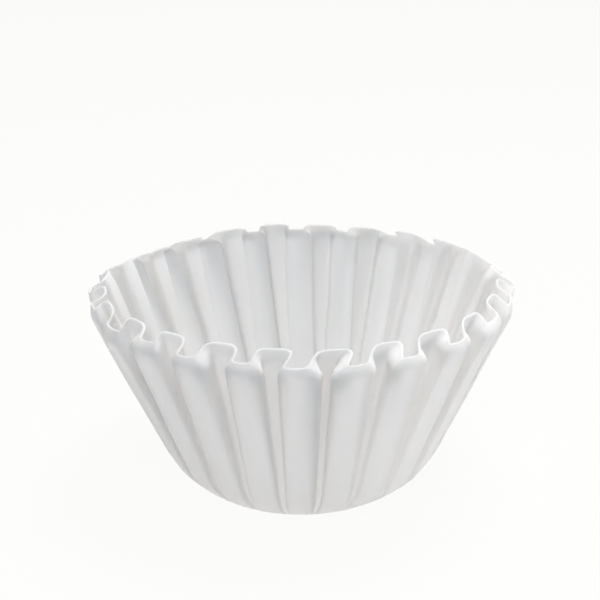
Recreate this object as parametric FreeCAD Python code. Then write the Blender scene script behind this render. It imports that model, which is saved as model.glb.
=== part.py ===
# Small basket coffee filter: one disc of white crepe filter paper, pressed into a cup with a
# flat round base, a wide bend and a steep fluted wall. Millimetres, +Z up, origin at the centre
# of the base. The middle of a lobe faces -Y.
#
# The disc is pressed and never cut. The flutes start at the edge of the base and deepen evenly
# along the paper, square to it, so the rim stands higher in the valleys than on the lobes. Near
# the rim the paper turns inwards in a short lip.
#
# The paper is creased into flat panels, and it is modelled so: each skin is made of flat panels
# between closed rings of points, and a rounded corner is a few narrow panels.

import FreeCAD, Part
import math
import os

SIZES = [
    ("base_diameter", 46.2, "the flat base, where the flutes start"),
    ("base_lift", 25.0, "slope in degrees at which the paper leaves the base"),
    ("bend_radius", 22.6, "outside radius of the bend from there up to the straight wall"),
    ("paper", 0.4, "thickness of the crepe paper"),
    ("flutes", 24, "lobes round the wall"),
    ("base_gap", 1.2, "between two neighbouring lobes, at the edge of the base"),
    ("base_valley_width", 0.4, "across the bottom of a valley, at the edge of the base"),
    ("lobe_radius", 50.0, "axis to the middle of a lobe, at the crease below the lip"),
    ("lobe_height", 45.3, "base to the crease, on a lobe"),
    ("lobe_crown", 0.3, "middle of a lobe proud of its corners, at the crease"),
    ("flute_depth", 4.9, "lobe to valley, at the crease, square to the wall"),
    ("gap_width", 3.9, "between two neighbouring lobes, at the crease"),
    ("valley_width", 5.0, "across the bottom of a valley, at the crease"),
    ("lobe_corner", 1.6, "set-back of the rounding at a lobe's corner, at the crease"),
    ("valley_corner", 1.2, "set-back of the rounding at a valley's corner, at the crease"),
    ("lip_rise", 1.5, "crease to rim, upwards"),
    ("lip_in", 1.1, "crease to rim, towards the axis, on a lobe"),
    ("rim_crown", 0.1, "middle of a lobe proud of its corners, at the rim"),
    ("rim_depth", 5.5, "lobe to valley, at the rim"),
    ("rim_gap_width", 8.7, "between two neighbouring lobes, at the rim"),
    ("rim_valley_width", 7.2, "across the bottom of a valley, at the rim"),
    ("rim_lobe_corner", 0.8, "set-back of the rounding at a lobe's corner, at the rim"),
    ("rim_valley_corner", 1.6, "set-back of the rounding at a valley's corner, at the rim"),
]

CORNER_PANELS = 3
BEND_PANELS = 3
FLAT_ENOUGH = 1e-7
SEW_TOLERANCE = 1e-4
MOST_OF_HALF = 0.9


def make_sheet(doc):
    sheet = doc.addObject("Spreadsheet::Sheet", "Sizes")
    for row, (name, value, meaning) in enumerate(SIZES, start=1):
        sheet.set(f"A{row}", name)
        sheet.set(f"B{row}", str(value))
        sheet.set(f"C{row}", meaning)
        sheet.setAlias(f"B{row}", name)
    doc.recompute()
    return sheet


def at(radius, angle, height):
    return FreeCAD.Vector(radius * math.cos(angle), radius * math.sin(angle), height)


def turned(point, angle):
    across, along = math.cos(angle), math.sin(angle)
    return FreeCAD.Vector(
        point.x * across - point.y * along, point.x * along + point.y * across, point.z
    )


def toward(start, end, distance):
    return start + (end - start) * (distance / (end - start).Length)


def rounded(start, corner, end):
    # Points along a bend that leaves towards the corner and arrives from it.
    curve = Part.BezierCurve()
    curve.setPoles([start, corner, end])
    curve.setWeight(2, math.cos((corner - start).getAngle(end - corner) / 2))
    return [curve.value(step / CORNER_PANELS) for step in range(CORNER_PANELS + 1)]


def whole_flute(crown, half, half_pitch):
    # The middle of a lobe, half a flute, and its mirror image across the middle of the valley.
    across = at(1, half_pitch + math.pi / 2, 0)
    mirrored = [point - across * (2 * point.dot(across)) for point in reversed(half)]
    return [crown] + half + mirrored


class Section:
    # One turn of the wall: lobes and valleys with their radii, heights, widths and corners.
    # Inward is the step in radius and height from the outer skin to the one facing the axis.
    def __init__(self, lobe, valley, inward, crown, gap, valley_width, lobe_corner, valley_corner):
        self.lobe_radius, self.lobe_height = lobe
        self.valley_radius, self.valley_height = valley
        self.inward = inward
        self.crown = crown
        self.gap = gap
        self.valley_width = valley_width
        self.lobe_corner = lobe_corner
        self.valley_corner = valley_corner

    def inside(self, paper):
        # The same turn on the skin that faces the axis.
        inwards, upwards = (paper * step for step in self.inward)
        return Section(
            (self.lobe_radius + inwards, self.lobe_height + upwards),
            (self.valley_radius + inwards, self.valley_height + upwards),
            self.inward,
            self.crown,
            self.gap + 2 * paper,
            self.valley_width + 2 * paper,
            self.lobe_corner - paper,
            self.valley_corner + paper,
        )

    def ring(self, half_pitch):
        corner_radius = self.lobe_radius - self.crown
        lobe_angle = half_pitch - self.gap / 2 / corner_radius
        valley_angle = half_pitch - self.valley_width / 2 / self.valley_radius
        lobe_tip = at(corner_radius, lobe_angle, self.lobe_height)
        valley_tip = at(self.valley_radius, valley_angle, self.valley_height)
        crown = at(self.lobe_radius, 0, self.lobe_height)
        valley_middle = at(self.valley_radius, half_pitch, self.valley_height)

        side = (valley_tip - lobe_tip).Length / 2
        lobe_room = min(side, (lobe_tip - crown).Length) * MOST_OF_HALF
        valley_room = min(side, (valley_tip - valley_middle).Length) * MOST_OF_HALF
        lobe_corner = min(self.lobe_corner, lobe_room)
        valley_corner = min(self.valley_corner, valley_room)
        half = rounded(
            toward(lobe_tip, crown, lobe_corner),
            lobe_tip,
            toward(lobe_tip, valley_tip, lobe_corner),
        )
        half += rounded(
            toward(valley_tip, lobe_tip, valley_corner),
            valley_tip,
            toward(valley_tip, valley_middle, valley_corner),
        )
        return whole_flute(crown, half, half_pitch)


def round_ring(radius, gap, height, half_pitch):
    # A turn without flutes: the whole side of a lobe is one point.
    foot = at(radius, half_pitch - gap / 2 / radius, height)
    half = [foot] * (2 * (CORNER_PANELS + 1))
    return whole_flute(at(radius, 0, height), half, half_pitch)


def flat_faces(corners):
    # One face, or two where the four corners don't lie in a plane.
    kept = [point for index, point in enumerate(corners) if point != corners[index - 1]]
    if len(kept) < 3:
        return []
    if len(kept) == 4:
        normal = (kept[1] - kept[0]).cross(kept[2] - kept[0]).normalize()
        if abs((kept[3] - kept[0]).dot(normal)) > FLAT_ENOUGH:
            halves = (kept[0], kept[1], kept[2]), (kept[0], kept[2], kept[3])
            return [face for half in halves for face in flat_faces(half)]
    return [Part.Face(Part.makePolygon(kept + [kept[0]]))]


def band(lower, upper, pitch):
    # The panels between two rings, for one flute. The diagonals mirror about its valley.
    lower = lower + [turned(lower[0], pitch)]
    upper = upper + [turned(upper[0], pitch)]
    faces = []
    middle = len(lower) // 2
    for index in range(len(lower) - 1):
        corners = [lower[index], lower[index + 1], upper[index + 1], upper[index]]
        if index >= middle:
            corners = corners[1:] + corners[:1]
        faces += flat_faces(corners)
    return faces


def all_round(shapes, flutes):
    # Copies of one flute's shapes, all the way round, with the first lobe towards -Y.
    copies = []
    for step in range(flutes):
        for shape in shapes:
            copy = shape.copy()
            copy.rotate(FreeCAD.Vector(), FreeCAD.Vector(0, 0, 1), step * 360 / flutes - 90)
            copies.append(copy)
    return copies


def disc(ring, flutes):
    points = [turned(point, step * 2 * math.pi / flutes) for step in range(flutes) for point in ring]
    return flat_faces(points)[0]


def grown(at_base, at_crease, share):
    return at_base + (at_crease - at_base) * share


def fluted(sheet, share, lobe, slope, inward):
    # A turn at its share of the way along the paper from the base to the crease.
    radius, height = lobe
    depth = sheet.flute_depth * share
    return Section(
        lobe,
        (radius - depth * math.sin(slope), height + depth * math.cos(slope)),
        inward,
        sheet.lobe_crown * share,
        grown(sheet.base_gap, sheet.gap_width, share),
        grown(sheet.base_valley_width, sheet.valley_width, share),
        sheet.lobe_corner,
        sheet.valley_corner,
    )


def wall_sections(sheet):
    # The turns up the bend, then the crease below the lip, where the straight wall ends.
    lift = math.radians(sheet.base_lift)
    bend_radius = sheet.bend_radius
    bend_centre_radius = sheet.base_diameter / 2 - bend_radius * math.sin(lift)
    bend_centre_height = bend_radius * math.cos(lift)
    outwards = sheet.lobe_radius - bend_centre_radius
    upwards = sheet.lobe_height - bend_centre_height
    reach = math.hypot(outwards, upwards)
    lean = math.atan2(upwards, outwards) + math.asin(bend_radius / reach)
    bend_length = bend_radius * (lean - lift)
    wall_length = math.sqrt(reach**2 - bend_radius**2)

    sections = []
    for step in range(1, BEND_PANELS + 1):
        slope = lift + (lean - lift) * step / BEND_PANELS
        share = bend_radius * (slope - lift) / (bend_length + wall_length)
        lobe = (
            bend_centre_radius + bend_radius * math.sin(slope),
            bend_centre_height - bend_radius * math.cos(slope),
        )
        inward = (-math.sin(slope), math.cos(slope))
        sections.append(fluted(sheet, share, lobe, slope, inward))
    sections.append(fluted(sheet, 1, (sheet.lobe_radius, sheet.lobe_height), lean, (-1, 0)))
    return sections


def rim_section(sheet, crease):
    radius = crease.lobe_radius - sheet.lip_in
    return Section(
        (radius, crease.lobe_height + sheet.lip_rise),
        (radius - sheet.rim_depth, crease.valley_height + sheet.lip_rise),
        crease.inward,
        sheet.rim_crown,
        sheet.rim_gap_width,
        sheet.rim_valley_width,
        sheet.rim_lobe_corner,
        sheet.rim_valley_corner,
    )


def filter_solid(sheet):
    flutes = int(sheet.flutes)
    pitch = 2 * math.pi / flutes
    paper = sheet.paper
    base_radius = sheet.base_diameter / 2
    inner_base_radius = base_radius - paper * math.tan(math.radians(sheet.base_lift) / 2)
    sections = wall_sections(sheet)
    sections.append(rim_section(sheet, sections[-1]))

    outer = [round_ring(base_radius, sheet.base_gap, 0, pitch / 2)]
    outer += [section.ring(pitch / 2) for section in sections]
    inner = [round_ring(inner_base_radius, sheet.base_gap + 2 * paper, paper, pitch / 2)]
    inner += [section.inside(paper).ring(pitch / 2) for section in sections]

    panels = band(outer[-1], inner[-1], pitch)
    for rings in (outer, inner):
        for lower, upper in zip(rings, rings[1:]):
            panels += band(lower, upper, pitch)
    faces = all_round(panels, flutes)
    faces += all_round([disc(outer[0], flutes), disc(inner[0], flutes)], 1)

    skin = Part.makeShell(faces)
    skin.sewShape(SEW_TOLERANCE)
    solid = Part.makeSolid(skin if skin.ShapeType == "Shell" else skin.Shells[0])
    if solid.Volume < 0:
        solid.reverse()
    return solid


def main():
    doc = FreeCAD.newDocument("BasketFilter")
    sheet = make_sheet(doc)

    filter_paper = doc.addObject("Part::Feature", "filter_paper")
    filter_paper.Label = "filter_paper"
    filter_paper.Shape = filter_solid(sheet)
    filter_paper.Placement = FreeCAD.Placement()
    doc.recompute()

    for thing in doc.Objects:
        if "Invalid" in thing.State or "Error" in thing.State:
            raise RuntimeError(f"{thing.Label} did not recompute: {thing.State}")
    shape = filter_paper.Shape
    if shape.isNull() or not shape.isValid() or not shape.isClosed():
        raise RuntimeError("filter_paper is not a valid closed solid")

    os.makedirs("parts", exist_ok=True)
    shape.exportStep(f"parts/{filter_paper.Label}.step")
    box = shape.BoundBox
    print(f"filter_paper {shape.Volume:.0f} mm3, {len(shape.Faces)} faces")
    print(f"box {box.XLength:.2f} x {box.YLength:.2f} x {box.ZLength:.2f} mm")
    return doc


main()
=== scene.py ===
import math

import bpy
import numpy as np
from mathutils import Matrix, Vector, noise


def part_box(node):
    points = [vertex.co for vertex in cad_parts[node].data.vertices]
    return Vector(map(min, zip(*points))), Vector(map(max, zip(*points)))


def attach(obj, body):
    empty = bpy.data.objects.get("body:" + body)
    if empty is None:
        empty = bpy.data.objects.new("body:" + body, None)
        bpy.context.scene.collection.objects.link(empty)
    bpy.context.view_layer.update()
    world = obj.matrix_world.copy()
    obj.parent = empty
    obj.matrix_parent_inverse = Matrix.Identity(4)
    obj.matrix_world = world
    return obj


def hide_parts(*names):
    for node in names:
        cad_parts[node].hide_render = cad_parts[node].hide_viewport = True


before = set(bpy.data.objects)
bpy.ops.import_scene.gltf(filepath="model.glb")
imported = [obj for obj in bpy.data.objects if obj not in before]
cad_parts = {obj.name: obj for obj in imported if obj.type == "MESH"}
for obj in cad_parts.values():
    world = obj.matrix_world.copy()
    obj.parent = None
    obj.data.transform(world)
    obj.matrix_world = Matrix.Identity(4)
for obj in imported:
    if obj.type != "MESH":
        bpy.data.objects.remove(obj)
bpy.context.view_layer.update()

# The cup is built in millimetres, with the main sizes of the CAD solid, and then scaled to
# metres. Every flute is a little different, as pressed paper is.
MM = 0.001
LOW, HIGH = (np.array(corner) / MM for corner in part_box("filter_paper"))
LOBE_RADIUS = (HIGH[0] - LOW[0]) / 2
FLUTES = 24
BASE_RADIUS = 23.1
BASE_LIFT = math.radians(25.0)
BEND_RADIUS = 22.6
LOBE_HEIGHT = 45.3
FLUTE_DEPTH = 4.9
BASE_GAP, CREASE_GAP, RIM_GAP = 1.2, 3.9, 8.7
BASE_VALLEY, CREASE_VALLEY, RIM_VALLEY = 0.4, 5.0, 7.2
LOBE_CORNER, RIM_LOBE_CORNER = 2.5, 1.3
VALLEY_CORNER, RIM_VALLEY_CORNER = 1.0, 2.0
LOBE_CROWN = 0.75
LIP_IN, LIP_RISE = 1.0, 1.7
RIM_DEPTH = 3.6
RIM_VALLEY_RISE = 0.3
RIM_VALLEY_LEAN = 0.3
CREASE_ROUNDING = 1.5
PAPER = 0.34
RIM_BEAD = 0.52
BASE_TWIST = -1.1

# Each lobe has a crisp and a softer edge: shares of the lobe's corner. At the base the corner
# is half of what it is at the crease.
CRISP_SIDE, SOFT_SIDE = 0.5, 1.0
BASE_CORNER_SHARE = 0.5
# A corner takes no more than this share of a panel.
LONGEST_CUT = 0.46

# How sizes grow from the base to the crease, as powers of the share of the way up.
GAP_POWER = 1.3
DEPTH_POWER = 0.85
DROP_POWER = 3
# Chance differences reach full strength before the crease.
CHANCE_GROWTH = 1.6
# The share of the crown that a lobe loses from the crease to the rim.
RIM_CROWN_LOSS = 0.75
# How much a lobe that opens outwards rises with it.
SPLAY_RISE = 0.3

# Lobes are numbered from the one that faces the camera, counter-clockwise seen from above.
# For the ones that the camera sees from outside, how far each leans sideways at the rim and
# at the crease, and how much wider it is than the rest there. Millimetres.
RIM_LEAN = {
    -4: 1.4, -3: 1.0, -2: -0.3, -1: -0.4, 0: -2.0, 1: -1.8, 2: -2.7, 3: -2.6, 4: -0.5,
}
CREASE_LEAN = {
    -4: -0.3, -3: -0.2, -2: 0.4, -1: 0.2, 0: -0.6, 1: -2.5, 2: -2.3, 3: -1.4, 4: -0.4,
}
CREASE_WIDER = {
    -5: 1.5, -4: 1.6, -3: 1.5, -2: 0.4, -1: 0.4, 0: 1.4, 1: 1.7, 2: 0.8, 3: 0.7, 4: 2.0,
    5: 2.2, 6: 1.2,
}
RIM_WIDER = {
    -5: 2.4, -4: 2.2, -3: 1.0, -2: 0.5, -1: 0.3, 0: 1.0, 1: 0.4, 2: 0.7, 3: 1.2, 4: 2.8,
    5: 3.0, 6: 1.5,
}
# The lobes at the sides and the back open outwards a little at the rim.
RIM_SPLAY = {5: 0.5, 6: 0.9, 7: 1.1, 8: 0.9, -4: 0.3, -5: 0.8, -6: 1.1, -7: 0.9, -8: 0.6}
# The lips of the lobes at the sides curl further in and stand a little taller.
LIP_CURL = {-2: 0.3, -3: 0.7, -4: 0.8, -5: 0.6, 4: 0.6, 5: 0.6}
LIP_TALL = {-2: 0.2, -3: 0.5, -4: 0.7, -5: 0.6, 3: 0.2, 4: 0.5, 5: 0.5}

# Turns of points up the wall, and steps of points round each flute.
BEND_ROWS = 9
WALL_ROWS = 24
CREASE_ROWS = 6
LIP_ROWS = 3
CORNER_STEPS = 4
LOBE_STEPS = 7
SIDE_STEPS = 4
VALLEY_STEPS = 5
# The share of the lip that the rounding of the crease reaches up to.
LIP_SHARE_ROUNDED = 0.6

# The rings of the flat base: every how many points of the last ring one is kept, and the
# ring's share of the base's radius.
BASE_RINGS = ((1, 0.975), (4, 0.88), (3, 0.66), (3, 0.4), (4, 0.12))

# Noise that warps the paper: its scale along x, y and z, a seed, and millimetres.
SOFT_SCALE, SOFT_SEED, SOFT_HEIGHT = (0.085, 0.085, 0.05), 3.1, 0.4
SOFT_AT_BASE, SOFT_ADDED = 0.35, 0.65
CRUMPLE_SCALE, CRUMPLE_SEED = (0.3, 0.3, 0.14), 17.7
CRUMPLE_ALL, CRUMPLE_RIGHT = 0.02, 0.1
FOLD_SCALE, FOLD_SEED, FOLD_FROM = (0.15, 0.15, 0.1), 41.3, 0.7
FOLD_ALL, FOLD_RIGHT = 0.06, 0.85
# Crumples and folds fade upwards, and grow to the right of an x. The edge of the base stays
# in place, and the warp is full from a twelfth of the rows up.
LOW_POWER = 1.6
RIGHT_FROM, RIGHT_WIDTH = 14, 6
EDGE_HOLD = 12

# How many points to each side a normal is evened out over. The inner skin follows evened
# normals up to a row of the wall, less and less over the last rows before it.
EVEN_REACH = 5
EVEN_UNTIL, EVEN_FADE = 25, 11

# Chance values stay within this many spreads.
CHANCE_LIMIT = 1.8
rng = np.random.default_rng(24)


def per_lobe(stated, spread):
    # One value for each lobe: the stated ones, and small chance ones for the rest.
    values = rng.normal(0, spread, FLUTES).clip(-CHANCE_LIMIT * spread, CHANCE_LIMIT * spread)
    for lobe, value in stated.items():
        values[lobe % FLUTES] = value
    return values


rim_lean = per_lobe(RIM_LEAN, spread=0.9)
crease_lean = per_lobe(CREASE_LEAN, spread=0.45)
crease_wider = per_lobe(CREASE_WIDER, spread=0.45)
rim_wider = per_lobe(RIM_WIDER, spread=0.4)
lobe_sink = per_lobe({}, spread=0.22)
lobe_twist = per_lobe({}, spread=0.16)
lobe_drop = per_lobe({}, spread=0.28)
lobe_crown = LOBE_CROWN + per_lobe({}, spread=0.14)
valley_lean = per_lobe({}, spread=0.25)
valley_wider = per_lobe({}, spread=0.35)
valley_deeper = per_lobe({}, spread=0.25)
valley_twist = per_lobe({}, spread=0.2)
lip_taller = per_lobe(LIP_TALL, spread=0.18)
lip_inward = per_lobe(LIP_CURL, spread=0.16)
rim_deeper = per_lobe({}, spread=0.35)
rim_splay = per_lobe(RIM_SPLAY, spread=0.15)
lobe_angle = 2 * math.pi * np.arange(FLUTES) / FLUTES - math.pi / 2
valley_angle = lobe_angle + math.pi / FLUTES


def to_next(values):
    # The mean of each lobe's value and the next lobe's, for the valley between them.
    return (values + np.roll(values, -1)) / 2


# The line up the middle of a lobe: out of the flat base, round the bend, up the straight wall.
bend_middle = BASE_RADIUS - BEND_RADIUS * math.sin(BASE_LIFT)
bend_height = BEND_RADIUS * math.cos(BASE_LIFT)
reach = math.hypot(LOBE_RADIUS - bend_middle, LOBE_HEIGHT - bend_height)
LEAN = math.atan2(LOBE_HEIGHT - bend_height, LOBE_RADIUS - bend_middle)
LEAN += math.asin(BEND_RADIUS / reach)
BEND_LENGTH = BEND_RADIUS * (LEAN - BASE_LIFT)
WALL_LENGTH = math.sqrt(reach**2 - BEND_RADIUS**2)
PAPER_LENGTH = BEND_LENGTH + WALL_LENGTH


def profile(share):
    # Radius, height and slope of that line at a share of the way up.
    along = share * PAPER_LENGTH
    slope = min(LEAN, BASE_LIFT + along / BEND_RADIUS)
    straight = max(0.0, along - BEND_LENGTH)
    radius = bend_middle + BEND_RADIUS * math.sin(slope) + straight * math.cos(LEAN)
    height = bend_height - BEND_RADIUS * math.cos(slope) + straight * math.sin(LEAN)
    return radius, height, slope


def around(radius, angle, height):
    return np.stack([radius * np.cos(angle), radius * np.sin(angle), height + 0 * angle], -1)


def tips(share):
    # The four tips of every flute at a share of the way up: lobe left and right, valley left
    # and right.
    radius, height, slope = profile(share)
    strength = min(1.0, share * CHANCE_GROWTH)
    lean = BASE_TWIST * (1 - share) + crease_lean * share
    gap = BASE_GAP + (CREASE_GAP - BASE_GAP) * share**GAP_POWER
    half = math.pi * radius / FLUTES - gap / 2
    half = half + crease_wider / 2 * strength * share
    sink = (lobe_sink * strength + lobe_crown) * share
    depth = (FLUTE_DEPTH + valley_deeper) * share**DEPTH_POWER
    valley_half = (BASE_VALLEY + (CREASE_VALLEY + valley_wider - BASE_VALLEY) * share) / 2
    valley_lean_here = to_next(lean) + valley_lean * share
    drop = lobe_drop * share**DROP_POWER
    corners = []
    for side in (-1, 1):
        inward = sink + side * lobe_twist * share
        angle = lobe_angle + (lean + side * half) / radius
        level = height + inward * math.cos(slope) - drop
        corners.append(around(radius - inward * math.sin(slope), angle, level))
    for side in (-1, 1):
        inward = depth + side * valley_twist * share
        radii = radius - inward * math.sin(slope)
        angle = valley_angle + (valley_lean_here + side * valley_half) / radii
        corners.append(around(radii, angle, height + inward * math.cos(slope) - to_next(drop)))
    return np.stack(corners, 1)


def rim_tips():
    # The same tips at the cut edge of the paper, where the lip has closed in.
    radius = LOBE_RADIUS - LIP_IN - lip_inward - lobe_sink + rim_splay
    height = LOBE_HEIGHT + LIP_RISE + lip_taller - lobe_drop + SPLAY_RISE * rim_splay
    half = math.pi * (LOBE_RADIUS - LIP_IN) / FLUTES - RIM_GAP / 2 + rim_wider / 2
    valley_radius = to_next(radius + lip_inward) - RIM_DEPTH - rim_deeper
    rise = LIP_RISE + RIM_VALLEY_RISE + to_next(lip_taller) + FLUTE_DEPTH * math.cos(LEAN)
    valley_height = LOBE_HEIGHT + rise - to_next(lobe_drop)
    valley_half = (RIM_VALLEY + valley_wider) / 2
    valley_middle = valley_angle + (RIM_VALLEY_LEAN + valley_lean) / valley_radius
    corners = []
    for side in (-1, 1):
        corners.append(around(radius, lobe_angle + (rim_lean + side * half) / radius, height))
    for side in (-1, 1):
        angle = valley_middle + side * valley_half / valley_radius
        corners.append(around(valley_radius, angle, valley_height))
    return np.stack(corners, 1)


def section(corners, lobe_corner, valley_corner, crown, slope):
    # One closed turn of points from the tips of its flutes, with the corners rounded.
    tip = corners.reshape(-1, 3)
    after = np.roll(tip, -1, 0) - tip
    length = np.linalg.norm(after, axis=1)
    after = after / length[:, None]
    before = np.roll(after, 1, 0)
    wanted = np.tile(
        [lobe_corner * CRISP_SIDE, lobe_corner * SOFT_SIDE, valley_corner, valley_corner], FLUTES
    )
    start = tip - before * np.minimum(wanted, np.roll(length, 1) * LONGEST_CUT)[:, None]
    end = tip + after * np.minimum(wanted, length * LONGEST_CUT)[:, None]
    steps = [LOBE_STEPS, SIDE_STEPS, VALLEY_STEPS, SIDE_STEPS]
    turn = []
    for flute in range(FLUTES):
        spoke = lobe_angle[flute]
        across, up = math.sin(slope), -math.cos(slope)
        bulge = np.array([math.cos(spoke) * across, math.sin(spoke) * across, up]) * crown[flute]
        for part in range(4):
            index = 4 * flute + part
            following = (index + 1) % len(tip)
            first, middle, last = start[index], tip[index], end[index]
            for step in range(CORNER_STEPS + 1):
                u = step / CORNER_STEPS
                turn.append((1 - u) ** 2 * first + 2 * u * (1 - u) * middle + u * u * last)
            outward = bulge if part == 0 else np.zeros(3)
            for step in range(1, steps[part]):
                u = step / steps[part]
                flat = last + (start[following] - last) * u
                turn.append(flat + outward * 4 * u * (1 - u))
    return np.array(turn)


def wall_grid():
    # All turns from the edge of the base to the rim.
    foot_share = BEND_LENGTH / PAPER_LENGTH
    last_share = 1 - CREASE_ROUNDING / PAPER_LENGTH
    shares = [foot_share * row / BEND_ROWS for row in range(BEND_ROWS)]
    shares += list(np.linspace(foot_share, last_share, WALL_ROWS))
    rows = []
    for share in shares:
        slope = profile(share)[2]
        corner = LOBE_CORNER * (BASE_CORNER_SHARE + (1 - BASE_CORNER_SHARE) * share)
        rows.append(section(tips(share), corner, VALLEY_CORNER, lobe_crown * share, slope))
    start, crease, rim = tips(last_share), tips(1.0), rim_tips()
    end = crease + (rim - crease) * LIP_SHARE_ROUNDED
    for row in range(1, CREASE_ROWS + LIP_ROWS + 1):
        if row <= CREASE_ROWS:
            u = row / CREASE_ROWS
            corners = (1 - u) ** 2 * start + 2 * u * (1 - u) * crease + u * u * end
        else:
            corners = end + (rim - end) * (row - CREASE_ROWS) / LIP_ROWS
        share = row / (CREASE_ROWS + LIP_ROWS)
        lobe_corner = LOBE_CORNER + (RIM_LOBE_CORNER - LOBE_CORNER) * share
        valley_corner = VALLEY_CORNER + (RIM_VALLEY_CORNER - VALLEY_CORNER) * share
        crown = lobe_crown * (1 - RIM_CROWN_LOSS * share)
        rows.append(section(corners, lobe_corner, valley_corner, crown, LEAN))
    return np.array(rows)


def grid_normals(grid):
    # Unit normals that point out of the cup.
    up = np.gradient(grid, axis=0)
    along = np.roll(grid, -1, 1) - np.roll(grid, 1, 1)
    normal = np.cross(along, up)
    return normal / np.linalg.norm(normal, axis=2, keepdims=True)


def even_normals(normal):
    # Each normal evened out with those of the points beside it on the turn.
    even = sum(np.roll(normal, step, 1) for step in range(-EVEN_REACH, EVEN_REACH + 1))
    return even / np.linalg.norm(even, axis=2, keepdims=True)


def noise_at(points, scale, seed):
    stretched = points * np.array(scale) + seed
    values = [noise.noise(Vector(point)) for point in stretched.reshape(-1, 3)]
    return np.array(values).reshape(points.shape[:2])


def crumple(grid):
    # Soft warps all over, small crumples low on the wall, and a few sharper folds.
    up = np.linspace(0, 1, len(grid))[:, None]
    low = (1 - up) ** LOW_POWER
    hold = np.minimum(1, up * EDGE_HOLD)
    right = 0.5 + 0.5 * np.tanh((grid[:, :, 0] - RIGHT_FROM) / RIGHT_WIDTH)
    soft = noise_at(grid, SOFT_SCALE, SOFT_SEED) * SOFT_HEIGHT
    small = noise_at(grid, CRUMPLE_SCALE, CRUMPLE_SEED)
    small = small * (CRUMPLE_ALL + CRUMPLE_RIGHT * right) * low
    fold = 1 - 2 * np.abs(noise_at(grid, FOLD_SCALE, FOLD_SEED))
    folds = np.maximum(0, fold - FOLD_FROM) * (FOLD_ALL + FOLD_RIGHT * right) * low
    shift = (soft * (SOFT_AT_BASE + SOFT_ADDED * up) + small - folds) * hold
    return grid + even_normals(grid_normals(grid)) * shift[:, :, None]


def strip(lower, upper, count):
    # Four-sided faces between two rings with the same number of points.
    index = np.arange(count)
    following = (index + 1) % count
    corners = [lower + index, lower + following, upper + following, upper + index]
    return np.stack(corners, 1).tolist()


def shrink(outer, inner, count, step):
    # Triangles from a ring of count points to one with a point for every step of them.
    faces = []
    small = count // step
    middle = step // 2
    for index in range(small):
        following = (index + 1) % small
        for part in range(step):
            first = outer + index * step + part
            second = outer + (index * step + part + 1) % count
            apex = index if part < middle else following
            faces.append([first, second, inner + apex])
        faces.append([outer + index * step + middle, inner + following, inner + index])
    return faces


def turned(faces):
    return [face[::-1] for face in faces]


def paper_mesh():
    grid = crumple(wall_grid())
    normal = grid_normals(grid)
    rows, columns = grid.shape[:2]

    # Low on the wall the folds are tighter than the paper is thick, so there the inner skin
    # follows the mean direction of the points nearby.
    weight = np.clip((EVEN_UNTIL - np.arange(rows)) / EVEN_FADE, 0, 1)[:, None, None]
    through = normal * (1 - weight) + even_normals(normal) * weight
    through = through / np.linalg.norm(through, axis=2, keepdims=True)
    thickness = np.full(rows, PAPER)
    thickness[-3:] = (PAPER, (PAPER + RIM_BEAD) / 2, RIM_BEAD)
    outer = grid + through * (thickness - PAPER)[:, None, None] / 2
    inner = outer - through * thickness[:, None, None]

    # The cut edge at the rim is half round.
    tangent = grid[-1] - grid[-2]
    tangent = tangent / np.linalg.norm(tangent, axis=1, keepdims=True)
    middle = (outer[-1] + inner[-1]) / 2
    edge = []
    for angle in (math.radians(45), math.radians(90), math.radians(135)):
        out = normal[-1] * math.cos(angle) + tangent * math.sin(angle)
        edge.append(middle + out * RIM_BEAD / 2)

    points = [outer.reshape(-1, 3), inner.reshape(-1, 3), *edge]
    inner_start = rows * columns
    edge_start = 2 * rows * columns
    faces = []
    for row in range(rows - 1):
        faces += strip(row * columns, (row + 1) * columns, columns)
        low = inner_start + row * columns
        faces += turned(strip(low, low + columns, columns))
    top = (rows - 1) * columns
    chain = [top, *(edge_start + step * columns for step in range(len(edge))), inner_start + top]
    for lower, upper in zip(chain, chain[1:]):
        faces += strip(lower, upper, columns)

    # The flat base: each skin in rings with fewer and fewer points. A strip runs outwards and
    # the triangles run inwards, so on each skin one of the two is turned over.
    used = edge_start + len(edge) * columns
    for skin, start, level in ((outer, 0, 0.0), (inner, inner_start, PAPER)):
        ring, count, first = skin[0], columns, start
        is_inner = level > 0
        for step, radius in BASE_RINGS:
            chosen = ring[::step].copy()
            wide = np.linalg.norm(chosen[:, :2], axis=1)
            chosen[:, :2] *= (radius * BASE_RADIUS / wide)[:, None]
            chosen[:, 2] = level
            is_strip = step == 1
            new = strip(used, first, columns) if is_strip else shrink(first, used, count, step)
            faces += turned(new) if is_strip == is_inner else new
            points.append(chosen)
            ring, first, count = chosen, used, count // step
            used += count
        last = list(range(first, first + count))
        faces.append(last if is_inner else last[::-1])
    points = np.concatenate(points)
    points[:, 2] -= points[:, 2].min()
    return points * MM, faces


points, faces = paper_mesh()
mesh = bpy.data.meshes.new("crepe_cup")
mesh.from_pydata(points.tolist(), [], faces)
mesh.validate()
mesh.shade_smooth()
cup = bpy.data.objects.new("crepe_cup", mesh)
bpy.context.scene.collection.objects.link(cup)
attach(cup, "root")
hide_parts("filter_paper")

# Colours and light.
PAPER_DARK, PAPER_LIGHT = (0.905, 0.9, 0.89, 1), (0.925, 0.921, 0.912, 1)
LIGHT_THROUGH = (0.959, 0.946, 0.926, 1)
SHARE_THROUGH = 0.62
MOTTLE = {"Scale": 260, "Detail": 6, "Roughness": 0.6}
MOTTLE_FROM, MOTTLE_TO = 0.35, 0.65
FIBRES = {"Scale": 1500, "Detail": 5}
FIBRE_BUMP = {"Strength": 0.08, "Distance": 0.0003}
SHEET = {"Roughness": 0.88, "Specular IOR Level": 0.18}

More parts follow.
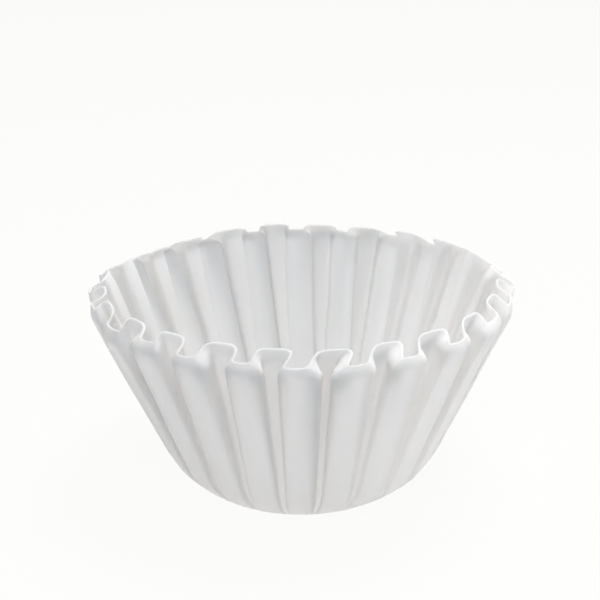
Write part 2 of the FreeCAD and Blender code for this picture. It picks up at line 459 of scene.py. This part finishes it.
BACKDROP = (0.983, 0.983, 0.965, 1)
FLOOR_GREY = (0.5, 0.51, 0.52, 1)
FLOOR_GLOW = 1.028
FLOOR_GLOW_SHARE = 0.93
FLOOR_SPAN = 6.0
FLOOR_DROP = 0.0001

SKY = (0.74, 0.835, 1.0, 1)
SKY_STRENGTH = 0.22

# Name, place, size, power and colour of each lamp: over the cup, over the camera, and low at
# the right.
LAMPS = (
    ("key", (0.14, 0.12, 0.78), 0.5, 6.3, (1.0, 0.992, 0.988)),
    ("front", (0.03, -0.5, 0.62), 0.4, 3.0, (0.93, 0.955, 1.0)),
    ("side", (0.85, 0.02, 0.06), 0.3, 4.7, (1.0, 0.995, 0.99)),
)
LAMP_AIM = (0, 0, 0.03)


def add(tree, kind, values=None):
    made = tree.nodes.new(kind)
    for name, value in (values or {}).items():
        made.inputs[name].default_value = value
    return made


def mixed(tree, share, first, second):
    # A mix of two shaders; the share of the second is a number or a node's output.
    made = tree.nodes.new("ShaderNodeMixShader")
    if isinstance(share, float):
        made.inputs["Fac"].default_value = share
    else:
        tree.links.new(share, made.inputs["Fac"])
    tree.links.new(first.outputs[0], made.inputs[1])
    tree.links.new(second.outputs[0], made.inputs[2])
    return made


def camera_sees(tree, usual, seen):
    # The second shader where the camera looks at it directly, and the first for all light.
    path = add(tree, "ShaderNodeLightPath")
    return mixed(tree, path.outputs["Is Camera Ray"], usual, seen)


def material(name):
    made = bpy.data.materials.new(name)
    made.use_nodes = True
    made.node_tree.nodes.clear()
    return made, made.node_tree


def crepe_paper():
    # White paper with a faint mottle and fine crepe, which lets part of the light through.
    made, tree = material("crepe_paper")
    link = tree.links.new
    coordinates = add(tree, "ShaderNodeTexCoord")

    mottle = add(tree, "ShaderNodeTexNoise", MOTTLE)
    link(coordinates.outputs["Object"], mottle.inputs["Vector"])
    tint = add(tree, "ShaderNodeValToRGB")
    dark, light = tint.color_ramp.elements
    dark.position, dark.color = MOTTLE_FROM, PAPER_DARK
    light.position, light.color = MOTTLE_TO, PAPER_LIGHT
    link(mottle.outputs["Fac"], tint.inputs["Fac"])

    fibres = add(tree, "ShaderNodeTexNoise", FIBRES)
    link(coordinates.outputs["Object"], fibres.inputs["Vector"])
    bump = add(tree, "ShaderNodeBump", FIBRE_BUMP)
    link(fibres.outputs["Fac"], bump.inputs["Height"])

    sheet = add(tree, "ShaderNodeBsdfPrincipled", SHEET)
    link(tint.outputs["Color"], sheet.inputs["Base Color"])
    link(bump.outputs["Normal"], sheet.inputs["Normal"])
    glow = add(tree, "ShaderNodeBsdfTranslucent", {"Color": LIGHT_THROUGH})
    link(bump.outputs["Normal"], glow.inputs["Normal"])
    mix = mixed(tree, SHARE_THROUGH, sheet, glow)
    link(mix.outputs["Shader"], add(tree, "ShaderNodeOutputMaterial").inputs["Surface"])
    return made


def floor_material():
    # A pale floor that the camera sees almost white, with a soft contact shadow.
    made, tree = material("pale_floor")
    diffuse = add(tree, "ShaderNodeBsdfDiffuse", {"Color": FLOOR_GREY})
    glow = add(tree, "ShaderNodeEmission", {"Color": BACKDROP, "Strength": FLOOR_GLOW})
    seen = mixed(tree, FLOOR_GLOW_SHARE, diffuse, glow)
    surface = camera_sees(tree, diffuse, seen)
    output = add(tree, "ShaderNodeOutputMaterial")
    tree.links.new(surface.outputs["Shader"], output.inputs["Surface"])
    return made


cup.data.materials.append(crepe_paper())

floor_mesh = bpy.data.meshes.new("floor")
around_floor = ((-1, -1), (1, -1), (1, 1), (-1, 1))
floor_corners = [(x * FLOOR_SPAN, y * FLOOR_SPAN, 0) for x, y in around_floor]
floor_mesh.from_pydata(floor_corners, [], [(0, 1, 2, 3)])
floor = bpy.data.objects.new("floor", floor_mesh)
floor.location.z = -FLOOR_DROP
bpy.context.scene.collection.objects.link(floor)
floor_mesh.materials.append(floor_material())

world = bpy.data.worlds.new("studio")
bpy.context.scene.world = world
world.use_nodes = True
tree = world.node_tree
tree.nodes.clear()
sky = add(tree, "ShaderNodeBackground", {"Color": SKY, "Strength": SKY_STRENGTH})
backdrop = add(tree, "ShaderNodeBackground", {"Color": BACKDROP, "Strength": 1.0})
surface = camera_sees(tree, sky, backdrop)
output = add(tree, "ShaderNodeOutputWorld")
tree.links.new(surface.outputs["Shader"], output.inputs["Surface"])

for name, place, size, power, colour in LAMPS:
    data = bpy.data.lights.new(name, "AREA")
    data.shape = "DISK"
    data.size = size
    data.energy = power
    data.color = colour
    lamp = bpy.data.objects.new(name, data)
    lamp.location = place
    aim = Vector(LAMP_AIM) - Vector(place)
    lamp.rotation_euler = aim.to_track_quat("-Z", "Y").to_euler()
    bpy.context.scene.collection.objects.link(lamp)

# The camera stands where the photograph was taken, a little above the rim.
CAMERA_BACK = 0.320
CAMERA_HEIGHT = 0.15748
CAMERA_ASIDE = math.radians(0.6)
CAMERA_DOWN = 0.3398
CAMERA_ROLL = -0.0131
CAMERA_SHIFT = -0.0015
CAMERA_NEAR = 0.01
SENSOR = 36
LENS = 86.5
camera_data = bpy.data.cameras.new("camera")
camera_data.sensor_width = SENSOR
camera_data.lens = LENS
camera_data.shift_x = CAMERA_SHIFT
camera_data.clip_start = CAMERA_NEAR
camera = bpy.data.objects.new("camera", camera_data)
turn = Matrix.Rotation(-CAMERA_ASIDE, 4, "Z")
tilt = Matrix.Rotation(math.pi / 2 - CAMERA_DOWN, 4, "X")
roll = Matrix.Rotation(CAMERA_ROLL, 4, "Z")
stand = (-CAMERA_BACK * math.sin(CAMERA_ASIDE), -CAMERA_BACK * math.cos(CAMERA_ASIDE))
camera.matrix_world = Matrix.Translation(Vector((*stand, CAMERA_HEIGHT))) @ turn @ tilt @ roll
bpy.context.scene.collection.objects.link(camera)
bpy.context.scene.camera = camera
bpy.context.scene.view_settings.view_transform = "Standard"
